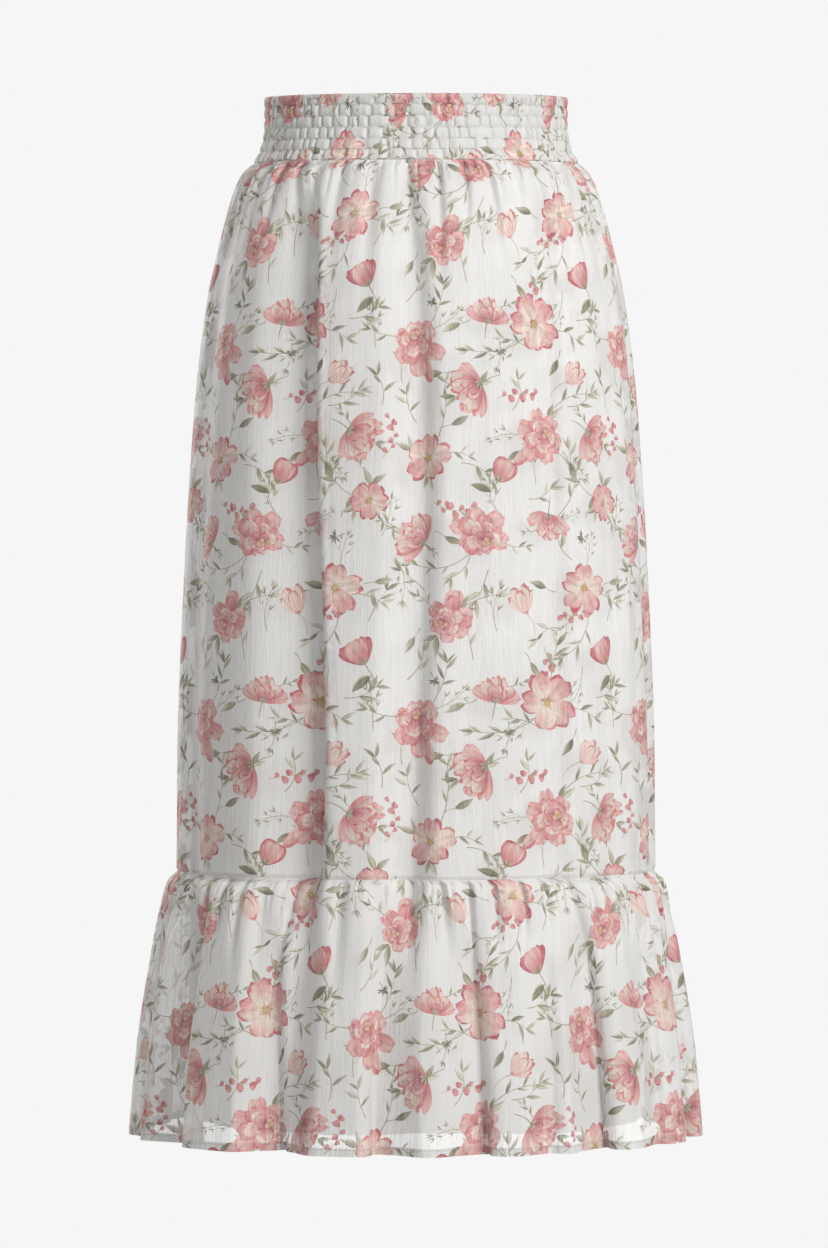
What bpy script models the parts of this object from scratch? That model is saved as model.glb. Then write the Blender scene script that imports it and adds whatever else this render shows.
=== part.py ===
"""Midi skirt of printed chiffon, filled out as it is worn, with nothing inside it.

It has a shirred waistband, a gathered upper tier, a gathered hem flounce and a plain
lining, each cut as a front and a back half that meet at the side seams. The front
faces -Y and +Z is up. The origin is the middle of the waist, halfway up the band.
"""

import math

import bmesh
import bpy
from mathutils import Vector

MM = 0.001

# Driving sizes in millimetres. A drop is measured down from the waist's upper edge.
BAND_HEIGHT = 53.5
FLOUNCE_SEAM_DROP = 625.0
HEM_DROP = 837.5
LINING_DROP = 826.0
SEAM_GAP = 0.3
CLOTH = 1.0
HEM_TURN = 7.0
HEM_EXTRA = 0.8

# The waistline is this much lower in front than at the sides, and higher behind.
WAIST_DIP = 7.0
LEVEL_DROP = 350.0

# Shirring: rows of elastic stitching, with the cloth puffed out between them.
SHIRRED_ROWS = 6
PUCKERS = 66
PUFF_HEIGHT = 1.6
PUCKER_DEPTH = 1.1
BAND_INSIDE = 4.4
SEAM_TUCK = 1.8

# Gathers around the whole skirt, and how far they stand in from the outline.
TIER_GATHERS = 40
TIER_GATHER_DEPTH = 7.0
FLOUNCE_GATHERS = 56
FLOUNCE_GATHER_DEPTH = 6.5
GATHER_FULL_AT = 8.0
TIER_GATHER_LENGTH = 150.0
FLOUNCE_GATHER_LENGTH = 110.0
FOLD_START = 70.0
HANG_TURN = 34.0

# Outline of the shell, through the tops of its folds.
# drop, half width, front depth, back depth
OUTLINE = (
    (0.0, 123.0, 91.0, 93.0),
    (24.0, 123.0, 91.0, 94.0),
    (40.0, 126.0, 93.5, 97.0),
    (53.5, 134.0, 99.5, 103.0),
    (61.5, 140.5, 104.0, 109.0),
    (77.5, 148.0, 109.5, 115.0),
    (113.5, 158.0, 116.0, 124.5),
    (163.5, 169.0, 123.0, 135.0),
    (253.5, 179.5, 130.0, 142.0),
    (423.5, 189.5, 137.5, 144.5),
    (520.0, 193.0, 141.0, 146.0),
    (625.0, 194.0, 144.0, 148.0),
    (633.0, 201.0, 150.0, 154.0),
    (649.0, 206.0, 154.0, 158.5),
    (695.0, 215.0, 161.0, 165.5),
    (765.0, 226.0, 168.5, 172.5),
    (837.5, 232.5, 173.0, 177.0),
)

# Outline of the lining, which hangs straighter inside the shell.
# drop, half width, front depth, back depth
LINING_OUTLINE = (
    (53.5, 130.8, 96.3, 99.8),
    (62.0, 129.0, 94.0, 98.0),
    (80.0, 132.5, 93.5, 99.0),
    (115.0, 143.5, 98.0, 106.0),
    (165.0, 156.0, 103.0, 114.0),
    (255.0, 168.0, 110.0, 121.0),
    (425.0, 178.5, 117.0, 124.5),
    (625.0, 182.5, 122.0, 127.0),
    (826.0, 185.0, 126.0, 131.0),
)
LINING_WAVES = 9
LINING_WAVE_DEPTH = 4.0

# Long soft folds of the upper tier. Turns are degrees from the centre front, positive
# to the wearer's left, which is +X. The cloth comes back out over the spreads to each side.
# turn, left spread, right spread, depth at the top, depth at the bottom
TIER_FOLDS = (
    (-69.2, 9.0, 11.0, 4.0, 7.0),
    (-24.5, 17.0, 6.5, 12.0, 14.0),
    (-0.8, 9.0, 7.0, 9.0, 12.0),
    (14.0, 6.0, 6.0, 1.0, 1.5),
    (33.5, 7.5, 6.5, 6.0, 6.0),
    (55.6, 8.5, 9.5, 2.5, 4.5),
    (79.7, 7.5, 8.5, 3.0, 5.0),
    (105.8, 10.5, 9.5, 4.0, 8.0),
    (129.0, 10.5, 11.5, 6.0, 10.0),
    (158.3, 8.0, 8.0, 3.5, 7.0),
    (186.1, 11.0, 10.0, 8.0, 12.0),
    (211.1, 8.0, 8.0, 4.0, 6.0),
    (240.1, 12.0, 11.0, 6.5, 10.0),
    (263.8, 7.5, 7.5, 3.0, 5.0),
)

# Waves of the flounce, deepest at the hem.
# turn, left spread, right spread, depth at the top, depth at the bottom
FLOUNCE_FOLDS = (
    (-76.3, 8.0, 6.0, 4.0, 12.0),
    (-54.6, 11.0, 7.0, 6.0, 20.0),
    (-27.5, 16.0, 7.0, 14.0, 26.0),
    (-3.8, 10.5, 6.5, 9.0, 18.0),
    (11.4, 9.5, 6.0, 8.0, 19.0),
    (27.9, 6.0, 5.5, 3.0, 9.0),
    (42.6, 10.5, 6.5, 10.0, 20.0),
    (57.7, 8.0, 7.0, 4.0, 12.0),
    (77.6, 8.0, 6.0, 4.0, 14.0),
    (87.5, 6.0, 9.0, 4.0, 13.0),
    (116.9, 12.0, 8.0, 6.0, 20.0),
    (133.6, 8.0, 7.0, 4.0, 14.0),
    (143.0, 8.0, 12.0, 6.0, 17.0),
    (173.4, 11.0, 8.0, 5.0, 18.0),
    (184.2, 7.0, 9.0, 6.0, 15.0),
    (206.8, 7.0, 6.0, 3.0, 11.0),
    (230.3, 14.0, 9.0, 8.0, 22.0),
    (250.1, 9.0, 7.0, 4.0, 15.0),
    (260.6, 6.0, 9.0, 4.0, 15.0),
)

# Drops of the rings of each wall, below the seam that it hangs from.
TIER_RINGS = (SEAM_GAP, 8.0, 24.0, 60.0, 110.0, 200.0, 370.0)
FLOUNCE_RINGS = (SEAM_GAP, 8.0, 24.0, 70.0, 140.0)
LINING_RINGS = (0.0, 8.5, 61.5, 201.5, 480.0)
TIER_COLUMNS_PER_GATHER = 4
FLOUNCE_COLUMNS_PER_GATHER = 3
LINING_COLUMNS = 27

SIDE_GAP_TURN = 0.0012
COLOURS = {
    "shirred_chiffon": (0.83, 0.76, 0.74),
    "printed_chiffon": (0.86, 0.80, 0.78),
    "white_lining": (0.90, 0.90, 0.89),
}


def read_table(table, drop):
    """The table's values at this drop, straight between its rows."""
    for upper, lower in zip(table, table[1:]):
        if drop <= lower[0]:
            break
    share = (drop - upper[0]) / (lower[0] - upper[0])
    share = min(max(share, 0.0), 1.0)
    return [a + (b - a) * share for a, b in zip(upper[1:], lower[1:])]


def ease(value):
    """Runs smoothly from 0 to 1 as value does."""
    value = min(max(value, 0.0), 1.0)
    return value * value * (3 - 2 * value)


def wander(turn):
    """Moves evenly spaced gathers a little, so that they are unevenly spaced."""
    return turn + 0.035 * math.sin(3 * turn + 0.6) + 0.018 * math.sin(8 * turn + 2.0)


def gather_bloom(below_seam, length):
    """How open the gathers are: shut at the seam, open just below it, then fading."""
    opening = ease(below_seam / GATHER_FULL_AT)
    return opening * (1 - ease(below_seam / length))


def gather_inset(turn, count, depth):
    """How far the gathers stand in from the outline, uneven from one to the next."""
    unevenness = 0.8 + 0.2 * math.sin(5 * turn + 1.0)
    return depth * unevenness * (0.5 - 0.5 * math.cos(count * turn))


def fold_inset(turn, folds, way_down, narrower=0.0):
    """How far long folds stand in from the outline, from 0 at their top to 1.

    Folds hang straight down, so where the skirt is narrower they are further round it.
    """
    inset = 0.0
    for centre, left, right, top, bottom in folds:
        hung = centre + HANG_TURN * math.sin(math.radians(2 * centre)) * narrower
        apart = (math.degrees(turn) - hung + 180) % 360 - 180
        spread = left if apart < 0 else right
        if abs(apart) < spread:
            depth = top + (bottom - top) * way_down
            inset += depth * (0.5 + 0.5 * math.cos(math.pi * apart / spread))
    return inset


def on_outline(table, turn, drop, inset=0.0):
    """A point on the outline at this turn and drop, moved in by inset."""
    half_width, front, back = read_table(table, drop)
    depth = front if math.cos(turn) > 0 else back
    outward = Vector((math.sin(turn) / half_width, -math.cos(turn) / depth, 0))
    dip = WAIST_DIP * math.cos(turn) * (1 - ease(drop / LEVEL_DROP))
    point = Vector((half_width * math.sin(turn), -depth * math.cos(turn), -drop - dip))
    return point - outward.normalized() * inset


def band_point(turn, drop):
    """The waistband's outer side, puffed between the rows and puckered along them."""
    row = drop / BAND_HEIGHT * SHIRRED_ROWS
    puff = PUFF_HEIGHT * abs(math.sin(math.pi * row))
    stagger = math.pi * (int(row) % 2)
    pucker = PUCKER_DEPTH * (0.5 - 0.5 * math.cos(PUCKERS * turn + stagger))
    return on_outline(OUTLINE, wander(turn), drop, PUFF_HEIGHT - puff + pucker)


def tier_point(turn, drop):
    """The upper tier's outer side, with its gathers and long folds."""
    below = drop - BAND_HEIGHT
    height = FLOUNCE_SEAM_DROP - BAND_HEIGHT
    bloom = gather_bloom(below, TIER_GATHER_LENGTH)
    inset = bloom * gather_inset(turn, TIER_GATHERS, TIER_GATHER_DEPTH)
    placed = wander(turn)
    inset += SEAM_TUCK * (1 - ease(below / GATHER_FULL_AT))
    narrower = read_table(OUTLINE, FLOUNCE_SEAM_DROP)[0] / read_table(OUTLINE, drop)[0] - 1
    folded = fold_inset(placed, TIER_FOLDS, below / height, narrower)
    inset += folded * ease(below / FOLD_START)
    return on_outline(OUTLINE, placed, drop, inset)


def flounce_point(turn, drop):
    """The flounce's outer side, gathered at its seam and waved at its hem."""
    below = drop - FLOUNCE_SEAM_DROP
    height = HEM_DROP - FLOUNCE_SEAM_DROP
    bloom = gather_bloom(below, FLOUNCE_GATHER_LENGTH)
    inset = bloom * gather_inset(turn, FLOUNCE_GATHERS, FLOUNCE_GATHER_DEPTH)
    placed = wander(turn)
    share = ease(below / FOLD_START)
    inset += fold_inset(placed, TIER_FOLDS, 1.0) * (1 - share)
    inset += fold_inset(placed, FLOUNCE_FOLDS, below / height) * share
    return on_outline(OUTLINE, placed, drop, inset)


def lining_point(turn, drop):
    """The lining's outer side, plain but for slight waves towards its hem."""
    wave = 0.5 - 0.5 * math.cos(LINING_WAVES * turn + 0.8)
    inset = LINING_WAVE_DEPTH * wave * ease((drop - BAND_HEIGHT) / LINING_DROP)
    return on_outline(LINING_OUTLINE, turn, drop, inset)


def inward_at(surface, turn, drop):
    """The level direction from the cloth's outer side to its inner side."""
    step = 0.004
    along = surface(turn + step, drop) - surface(turn - step, drop)
    return Vector((-along.y, along.x, 0)).normalized()


def plain_band_inside(turn, drop):
    """The waistband's inner side, which is plain."""
    return on_outline(OUTLINE, wander(turn), drop, BAND_INSIDE)


def cloth_inside(surface, hem_drop=None):
    """The inner side of a cloth wall, thicker where its hem is turned up."""

    def inside(turn, drop):
        thick = CLOTH
        if hem_drop is not None and drop > hem_drop - HEM_TURN - 0.1:
            thick += HEM_EXTRA
        return surface(turn, drop) + inward_at(surface, turn, drop) * thick

    return inside


def make_wall(name, cloth, outside, inside, outer_drops, inner_drops, columns, back):
    """One half of the skirt's cloth: its section is spun half a turn, then shaped.

    The section is made at radius 2 outside and 1 inside, which tells the two sides
    apart, and at its drop below the waist in metres.
    """
    bm = bmesh.new()
    corners = [(2.0, drop) for drop in outer_drops]
    corners += [(1.0, drop) for drop in reversed(inner_drops)]
    half_turn = math.pi - 2 * SIDE_GAP_TURN
    first = SIDE_GAP_TURN - math.pi / 2 + (math.pi if back else 0.0)
    direction = Vector((math.sin(first), -math.cos(first), 0))
    ring = [bm.verts.new(direction * r - Vector((0, 0, drop * MM))) for r, drop in corners]
    section = bm.faces.new(ring)
    bmesh.ops.spin(
        bm,
        geom=[section, *section.edges, *section.verts],
        cent=(0, 0, 0),
        axis=(0, 0, 1),
        angle=half_turn,
        steps=columns,
        use_merge=False,
    )
    for vert in bm.verts:
        drop = -vert.co.z / MM
        turn = math.atan2(vert.co.x, -vert.co.y)
        side = outside if vert.co.xy.length > 1.5 else inside
        vert.co = side(turn, drop) * MM + Vector((0, 0, BAND_HEIGHT / 2 * MM))
    bmesh.ops.triangulate(bm, faces=bm.faces)
    bmesh.ops.recalc_face_normals(bm, faces=bm.faces)
    if bm.calc_volume(signed=True) < 0:
        bmesh.ops.reverse_faces(bm, faces=bm.faces)
    mesh = bpy.data.meshes.new(name)
    bm.to_mesh(mesh)
    bm.free()
    mesh.shade_smooth()
    mesh.materials.append(cloth)
    wall = bpy.data.objects.new(name, mesh)
    bpy.data.collections["midi_skirt"].objects.link(wall)
    return wall


def make_cloth(name, roughness):
    """The plain colour of one kind of cloth."""
    material = bpy.data.materials.new(name)
    material.use_nodes = True
    shader = material.node_tree.nodes["Principled BSDF"]
    shader.inputs["Base Color"].default_value = (*COLOURS[name], 1.0)
    shader.inputs["Roughness"].default_value = roughness
    shader.inputs["Metallic"].default_value = 0.0
    return material


def band_drops():
    """Drops of the rings on each row of stitching and on each puff between them."""
    steps = 2 * SHIRRED_ROWS
    return [BAND_HEIGHT * step / steps for step in range(steps + 1)]


def main():
    for old in list(bpy.data.objects):
        bpy.data.objects.remove(old)
    parts = bpy.data.collections.new("midi_skirt")
    bpy.context.scene.collection.children.link(parts)
    shirred = make_cloth("shirred_chiffon", 0.85)
    printed = make_cloth("printed_chiffon", 0.8)
    lining = make_cloth("white_lining", 0.6)

    tier_drops = [BAND_HEIGHT + ring for ring in TIER_RINGS] + [FLOUNCE_SEAM_DROP]
    hem_drops = [HEM_DROP - HEM_TURN - 1.0, HEM_DROP - HEM_TURN, HEM_DROP]
    flounce_drops = [FLOUNCE_SEAM_DROP + ring for ring in FLOUNCE_RINGS] + hem_drops
    lining_drops = [BAND_HEIGHT + SEAM_GAP + ring for ring in LINING_RINGS]
    lining_drops.append(LINING_DROP)
    plain_drops = [row[0] for row in OUTLINE if row[0] <= BAND_HEIGHT]
    tier_columns = TIER_GATHERS * TIER_COLUMNS_PER_GATHER // 2
    flounce_columns = FLOUNCE_GATHERS * FLOUNCE_COLUMNS_PER_GATHER // 2
    for half, back in (("front", False), ("back", True)):
        make_wall(
            f"waistband_{half}", shirred, band_point, plain_band_inside,
            band_drops(), plain_drops, PUCKERS, back,
        )
        make_wall(
            f"skirt_{half}", printed, tier_point, cloth_inside(tier_point),
            tier_drops, tier_drops, tier_columns, back,
        )
        make_wall(
            f"flounce_{half}", printed, flounce_point, cloth_inside(flounce_point, HEM_DROP),
            flounce_drops, flounce_drops, flounce_columns, back,
        )
        make_wall(
            f"lining_{half}", lining, lining_point, cloth_inside(lining_point),
            lining_drops, lining_drops, LINING_COLUMNS, back,
        )


main()
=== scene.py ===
"""Midi skirt of printed crinkle chiffon, filled out as it is worn.

The cloth is cut flat, with its print, and is then laid on the skirt's form: flat cloth
has X along its width and Y up its length, both in millimetres. On the skirt a turn is an
angle from the centre front, positive towards +X, and a drop is measured down from the
waist's upper edge.
"""

import math

import bmesh
import bpy
import numpy as np
from bpy.props import FloatProperty, FloatVectorProperty, IntProperty, PointerProperty
from mathutils import Matrix, Vector
from mathutils.geometry import delaunay_2d_cdt


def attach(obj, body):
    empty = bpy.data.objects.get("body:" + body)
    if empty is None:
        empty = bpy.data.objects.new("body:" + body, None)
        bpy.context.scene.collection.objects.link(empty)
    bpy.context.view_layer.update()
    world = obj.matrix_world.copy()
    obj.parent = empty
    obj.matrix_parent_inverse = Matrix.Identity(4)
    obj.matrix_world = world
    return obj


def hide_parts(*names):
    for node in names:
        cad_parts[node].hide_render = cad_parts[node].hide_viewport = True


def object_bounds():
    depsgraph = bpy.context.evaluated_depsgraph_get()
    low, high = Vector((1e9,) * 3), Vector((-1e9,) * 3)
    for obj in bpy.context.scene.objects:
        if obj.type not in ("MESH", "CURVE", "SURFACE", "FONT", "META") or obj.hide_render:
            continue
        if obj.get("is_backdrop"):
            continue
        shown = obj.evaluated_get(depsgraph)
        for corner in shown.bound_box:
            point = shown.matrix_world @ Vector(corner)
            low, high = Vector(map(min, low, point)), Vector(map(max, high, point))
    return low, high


bl_info = {
    "name": "Printed chiffon midi skirt",
    "version": (1, 0, 0),
    "blender": (4, 5, 0),
    "location": "3D View > Sidebar > Skirt",
    "description": "Makes a gathered midi skirt with a shirred waistband and a hem flounce",
    "category": "Add Mesh",
}

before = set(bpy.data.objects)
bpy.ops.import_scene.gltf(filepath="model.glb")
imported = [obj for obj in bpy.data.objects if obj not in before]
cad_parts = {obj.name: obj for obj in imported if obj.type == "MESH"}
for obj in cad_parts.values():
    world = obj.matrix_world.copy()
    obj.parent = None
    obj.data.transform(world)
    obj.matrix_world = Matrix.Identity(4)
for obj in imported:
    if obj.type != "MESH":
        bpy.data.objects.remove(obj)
CAD_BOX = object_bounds()

MM = 0.001

# Outline of the shell through the tops of its folds, in millimetres.
# drop, half width, front depth, back depth
OUTLINE = (
    (0.0, 123.0, 91.0, 93.0),
    (24.0, 123.2, 91.0, 94.0),
    (40.0, 126.3, 93.5, 97.0),
    (53.5, 133.5, 99.5, 103.0),
    (61.5, 140.5, 104.0, 109.0),
    (77.5, 148.0, 109.5, 115.0),
    (113.5, 158.0, 116.0, 124.5),
    (163.5, 169.0, 123.0, 135.0),
    (253.5, 179.5, 130.0, 142.0),
    (423.5, 189.5, 137.5, 144.5),
    (520.0, 193.0, 141.0, 146.0),
    (625.0, 194.0, 144.0, 148.0),
    (633.0, 201.0, 150.0, 154.0),
    (649.0, 206.0, 154.0, 158.5),
    (695.0, 215.0, 161.0, 165.5),
    (765.0, 226.0, 168.5, 172.5),
    (837.5, 232.5, 173.0, 177.0),
)

# Half width of that outline at the flounce's seam, where the long folds are placed.
OUTLINE_AT_SEAM = 194.0

# Gap in millimetres between two pieces of cloth that are sewn together.
SEAM_GAP = 0.3

# Outline of the lining.
# drop, half width, front depth, back depth
LINING_OUTLINE = (
    (53.5, 130.8, 96.3, 99.8),
    (62.0, 129.0, 94.0, 98.0),
    (80.0, 132.5, 93.5, 99.0),
    (115.0, 143.5, 98.0, 106.0),
    (165.0, 156.0, 103.0, 114.0),
    (255.0, 168.0, 110.0, 121.0),
    (425.0, 178.5, 117.0, 124.5),
    (625.0, 182.5, 122.0, 127.0),
    (826.0, 185.0, 126.0, 131.0),
)

# Long soft folds of the upper tier. A fold's floor is at its turn, and the cloth comes back
# out over the spreads to its left and right. The lean is how far the floor is pushed along
# the cloth for each millimetre of its depth, which lays one edge over the fold.
# turn, left spread, right spread, depth at the top, depth at the bottom, lean
TIER_FOLDS = (
    (-70.0, 8.0, 12.0, 4.0, 7.0, 0.3),
    (-27.5, 17.0, 6.5, 17.0, 19.0, 0.9),
    (-1.3, 9.0, 8.0, 9.0, 15.5, 0.3),
    (14.0, 6.0, 6.0, 1.0, 1.5, 0.3),
    (33.0, 7.0, 7.0, 6.0, 6.0, 0.5),
    (55.0, 8.0, 10.0, 2.5, 4.5, 0.4),
    (79.0, 7.0, 9.0, 3.0, 5.0, 0.4),
    (104.0, 9.0, 11.0, 4.0, 8.0, 0.6),
    (131.0, 12.0, 10.0, 6.0, 10.0, -0.6),
    (157.0, 7.0, 9.0, 3.5, 7.0, 0.6),
    (184.0, 9.0, 12.0, 8.0, 12.0, 0.6),
    (212.0, 9.0, 7.0, 4.0, 6.0, -0.5),
    (238.0, 10.0, 13.0, 6.5, 10.0, 0.6),
    (263.0, 7.0, 8.0, 3.0, 5.0, 0.4),
)

# Waves of the flounce, deepest at the hem.
# turn, left spread, right spread, depth at the top, depth at the bottom, lean
FLOUNCE_FOLDS = (
    (-79.0, 6.0, 8.0, 4.0, 12.0, 0.7),
    (-60.0, 9.0, 10.0, 8.0, 26.0, 0.95),
    (-33.5, 6.0, 6.0, 10.0, 24.0, 0.4),
    (-28.0, 7.5, 8.5, 7.0, 20.0, 0.0),
    (-4.0, 7.0, 6.5, 9.0, 21.0, -0.6),
    (8.5, 6.0, 8.0, 8.0, 19.0, 1.0),
    (26.0, 5.0, 6.5, 3.0, 9.0, 0.8),
    (37.5, 6.0, 9.0, 11.0, 24.0, 0.95),
    (54.5, 6.0, 8.0, 4.0, 10.0, 0.9),
    (74.0, 6.0, 8.0, 4.0, 14.0, 0.8),
    (92.0, 8.0, 6.0, 4.0, 15.0, -0.9),
    (110.0, 7.0, 12.0, 6.0, 20.0, 1.1),
    (130.0, 6.0, 9.0, 4.0, 14.0, 0.9),
    (149.0, 12.0, 7.0, 6.0, 21.0, -1.1),
    (168.5, 7.0, 11.0, 5.0, 18.0, 1.1),
    (188.0, 9.0, 7.0, 6.0, 17.0, -0.9),
    (204.5, 6.0, 8.0, 3.0, 11.0, 0.8),
    (223.0, 7.0, 14.0, 8.0, 22.0, 1.2),
    (246.0, 6.0, 9.0, 4.0, 15.0, 0.9),
    (265.0, 9.0, 7.0, 4.0, 17.0, -0.8),
)

# Names of the inks, in the order in which the painted shapes number them.
INK_NAMES = (
    "cloth", "cream", "blush", "pink", "coral", "rose", "deep",
    "ochre", "wash", "sage", "olive", "moss", "slate",
)

# Layout of one repeat of the print: x and y in millimetres, size across, turn in degrees.
# kind, x, y, size, turn
REPEAT = (
    ("branch", 30.0, 24.0, 62.0, 75.0),
    ("branch", 128.0, 42.0, 60.0, 35.0),
    ("branch", 64.0, 78.0, 56.0, 130.0),
    ("branch", 126.0, 132.0, 64.0, 200.0),
    ("branch", 20.0, 118.0, 52.0, 60.0),
    ("branch", 160.0, 222.0, 58.0, 250.0),
    ("branch", 46.0, 196.0, 60.0, 20.0),
    ("branch", 74.0, 262.0, 62.0, 200.0),
    ("branch", 186.0, 290.0, 54.0, 130.0),
    ("branch", 130.0, 270.0, 56.0, 60.0),
    ("twig", 20.0, 52.0, 30.0, 110.0),
    ("twig", 58.0, 20.0, 34.0, 330.0),
    ("twig", 100.0, 62.0, 32.0, 75.0),
    ("twig", 152.0, 66.0, 34.0, 25.0),
    ("twig", 196.0, 66.0, 30.0, 100.0),
    ("twig", 118.0, 112.0, 30.0, 160.0),
    ("twig", 12.0, 150.0, 32.0, 60.0),
    ("twig", 66.0, 166.0, 34.0, 100.0),
    ("twig", 168.0, 136.0, 32.0, 20.0),
    ("twig", 140.0, 190.0, 30.0, 200.0),
    ("twig", 186.0, 196.0, 34.0, 60.0),
    ("twig", 26.0, 220.0, 30.0, 140.0),
    ("twig", 78.0, 236.0, 32.0, 250.0),
    ("twig", 150.0, 244.0, 34.0, 110.0),
    ("twig", 112.0, 292.0, 30.0, 20.0),
    ("leaf", 50.0, 50.0, 17.0, 20.0),
    ("leaf", 106.0, 30.0, 15.0, 215.0),
    ("leaf", 150.0, 22.0, 18.0, 300.0),
    ("leaf", 44.0, 92.0, 19.0, 190.0),
    ("leaf", 146.0, 104.0, 16.0, 250.0),
    ("leaf", 60.0, 132.0, 18.0, 200.0),
    ("leaf", 110.0, 164.0, 17.0, 300.0),
    ("leaf", 18.0, 184.0, 16.0, 240.0),
    ("leaf", 128.0, 222.0, 18.0, 160.0),
    ("leaf", 190.0, 226.0, 16.0, 10.0),
    ("leaf", 44.0, 262.0, 17.0, 330.0),
    ("leaf", 168.0, 284.0, 15.0, 60.0),
    ("sprig", 8.0, 84.0, 34.0, 80.0),
    ("sprig", 120.0, 4.0, 36.0, 100.0),
    ("sprig", 190.0, 112.0, 34.0, 95.0),
    ("sprig", 84.0, 188.0, 34.0, 85.0),
    ("sprig", 156.0, 160.0, 30.0, 250.0),
    ("sprig", 2.0, 246.0, 34.0, 280.0),
    ("sprig", 196.0, 262.0, 30.0, 75.0),
    ("sprig", 92.0, 276.0, 34.0, 110.0),
    ("star", 92.0, 110.0, 11.0, 270.0),
    ("star", 160.0, 262.0, 11.0, 200.0),
    ("star", 36.0, 150.0, 10.0, 300.0),
    ("spray", 88.0, 72.0, 34.0, 5.0),
    ("spray", 196.0, 24.0, 32.0, 80.0),
    ("spray", 124.0, 176.0, 34.0, 265.0),
    ("spray", 34.0, 290.0, 32.0, 350.0),
    ("spray", 168.0, 206.0, 28.0, 190.0),
    ("tulip", 92.0, 14.0, 23.0, 60.0),
    ("side", 64.0, 78.0, 38.0, 205.0),
    ("peony", 128.0, 42.0, 43.0, 20.0),
    ("side", 180.0, 40.0, 39.0, 330.0),
    ("rose", 30.0, 24.0, 38.0, 12.0),
    ("bud", 160.0, 92.0, 23.0, 40.0),
    ("peony", 20.0, 118.0, 44.0, 100.0),
    ("rose", 126.0, 132.0, 47.0, 40.0),
    ("side", 84.0, 142.0, 29.0, 80.0),
    ("tulip", 178.0, 172.0, 25.0, 120.0),
    ("peony", 46.0, 196.0, 37.0, 220.0),
    ("bud", 104.0, 212.0, 24.0, 110.0),
    ("rose", 160.0, 222.0, 40.0, 80.0),
    ("side", 16.0, 262.0, 34.0, 150.0),
    ("peony", 74.0, 262.0, 42.0, 300.0),
    ("side", 130.0, 270.0, 31.0, 260.0),
    ("rose", 186.0, 290.0, 33.0, 60.0),
)


def linear(hex_colour):
    """An sRGB hex colour as linear red, green, blue and alpha."""
    values = [int(hex_colour[i:i + 2], 16) / 255 for i in (1, 3, 5)]
    values = [v / 12.92 if v <= 0.04045 else ((v + 0.055) / 1.055) ** 2.4 for v in values]
    return (*values, 1.0)


def colour(name, description, hex_colour):
    """A colour property that starts as this hex colour."""
    return FloatVectorProperty(
        name=name, description=description, default=linear(hex_colour),
        size=4, min=0.0, max=1.0, subtype="COLOR",
    )


class SkirtCut(bpy.types.PropertyGroup):
    """Sizes that the skirt is cut and sewn to."""

    band_height: FloatProperty(
        name="Band height",
        description="Height of the shirred waistband",
        default=0.0535, min=0.02, max=0.12, subtype="DISTANCE", unit="LENGTH",
    )
    flounce_seam: FloatProperty(
        name="Flounce seam",
        description="Drop from the waist's upper edge to the flounce's seam",
        default=0.625, min=0.3, max=0.9, subtype="DISTANCE", unit="LENGTH",
    )
    hem: FloatProperty(
        name="Hem",
        description="Drop from the waist's upper edge to the hem",
        default=0.8375, min=0.4, max=1.2, subtype="DISTANCE", unit="LENGTH",
    )
    lining_hem: FloatProperty(
        name="Lining hem",
        description="Drop from the waist's upper edge to the lining's hem",
        default=0.826, min=0.3, max=1.2, subtype="DISTANCE", unit="LENGTH",
    )
    hem_turn: FloatProperty(
        name="Hem turning",
        description="Height of the turned-up hem",
        default=0.0065, min=0.003, max=0.03, subtype="DISTANCE", unit="LENGTH",
    )
    waist_dip: FloatProperty(
        name="Waist dip",
        description="How much lower the waist's edge is in front than at the sides",
        default=0.007, min=0.0, max=0.03, subtype="DISTANCE", unit="LENGTH",
    )
    shirred_rows: IntProperty(
        name="Shirred rows",
        description="Puffed rows between the band's lines of elastic stitching",
        default=6, min=2, max=12,
    )
    puckers: IntProperty(
        name="Puckers",
        description="Puckers around one row of shirring",
        default=66, min=20, max=120,
    )
    tier_gathers: IntProperty(
        name="Tier gathers",
        description="Gathers around the upper tier's top",
        default=40, min=10, max=80,
    )
    flounce_gathers: IntProperty(
        name="Flounce gathers",
        description="Gathers around the flounce's top",
        default=56, min=10, max=100,
    )


class SkirtPrint(bpy.types.PropertyGroup):
    """Sizes of the floral print."""

    repeat_width: FloatProperty(
        name="Repeat width",
        description="Width of one repeat of the print",
        default=0.205, min=0.05, max=0.6, subtype="DISTANCE", unit="LENGTH",
    )
    repeat_height: FloatProperty(
        name="Repeat height",
        description="Height of one repeat of the print",
        default=0.300, min=0.05, max=0.8, subtype="DISTANCE", unit="LENGTH",
    )


class SkirtColours(bpy.types.PropertyGroup):
    """Colours of the cloth, the thread and the print's watercolour inks."""

    cloth: colour("Cloth", "Ground of the printed chiffon", "#f0efec")
    # The shirred ground is greyer as painted shade. It stands in for the small shadows between the
    # band's puckers, and for the band having no white lining behind it.
    shirred: colour("Shirred cloth", "Ground of the chiffon where shirring packs it, greyed as painted shade", "#d6d5d2")
    lining: colour("Lining", "Plain lining", "#f4f3f1")
    thread: colour("Thread", "Sewing thread", "#c9c7c3")
    cream: colour("Cream", "Wash at the heart of a bloom", "#e9d7c9")
    blush: colour("Blush", "Palest petals", "#e6beb6")
    pink: colour("Pink", "Petals", "#dc9897")
    coral: colour("Coral", "Edges of petals", "#cc7575")
    rose: colour("Rose", "Deep edges of petals", "#b95362")
    deep: colour("Deep rose", "Darkest folds of a bloom", "#a03a4d")
    ochre: colour("Ochre", "Stamens", "#c3a05a")
    wash: colour("Leaf wash", "Palest leaves", "#d3ceb9")
    sage: colour("Sage", "Leaves", "#b7b196")
    olive: colour("Olive", "Stems and leaves", "#97916f")
    moss: colour("Moss", "Dark halves of leaves", "#6d6a4d")
    slate: colour("Slate", "Tiny dark sprigs", "#65645a")


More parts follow.
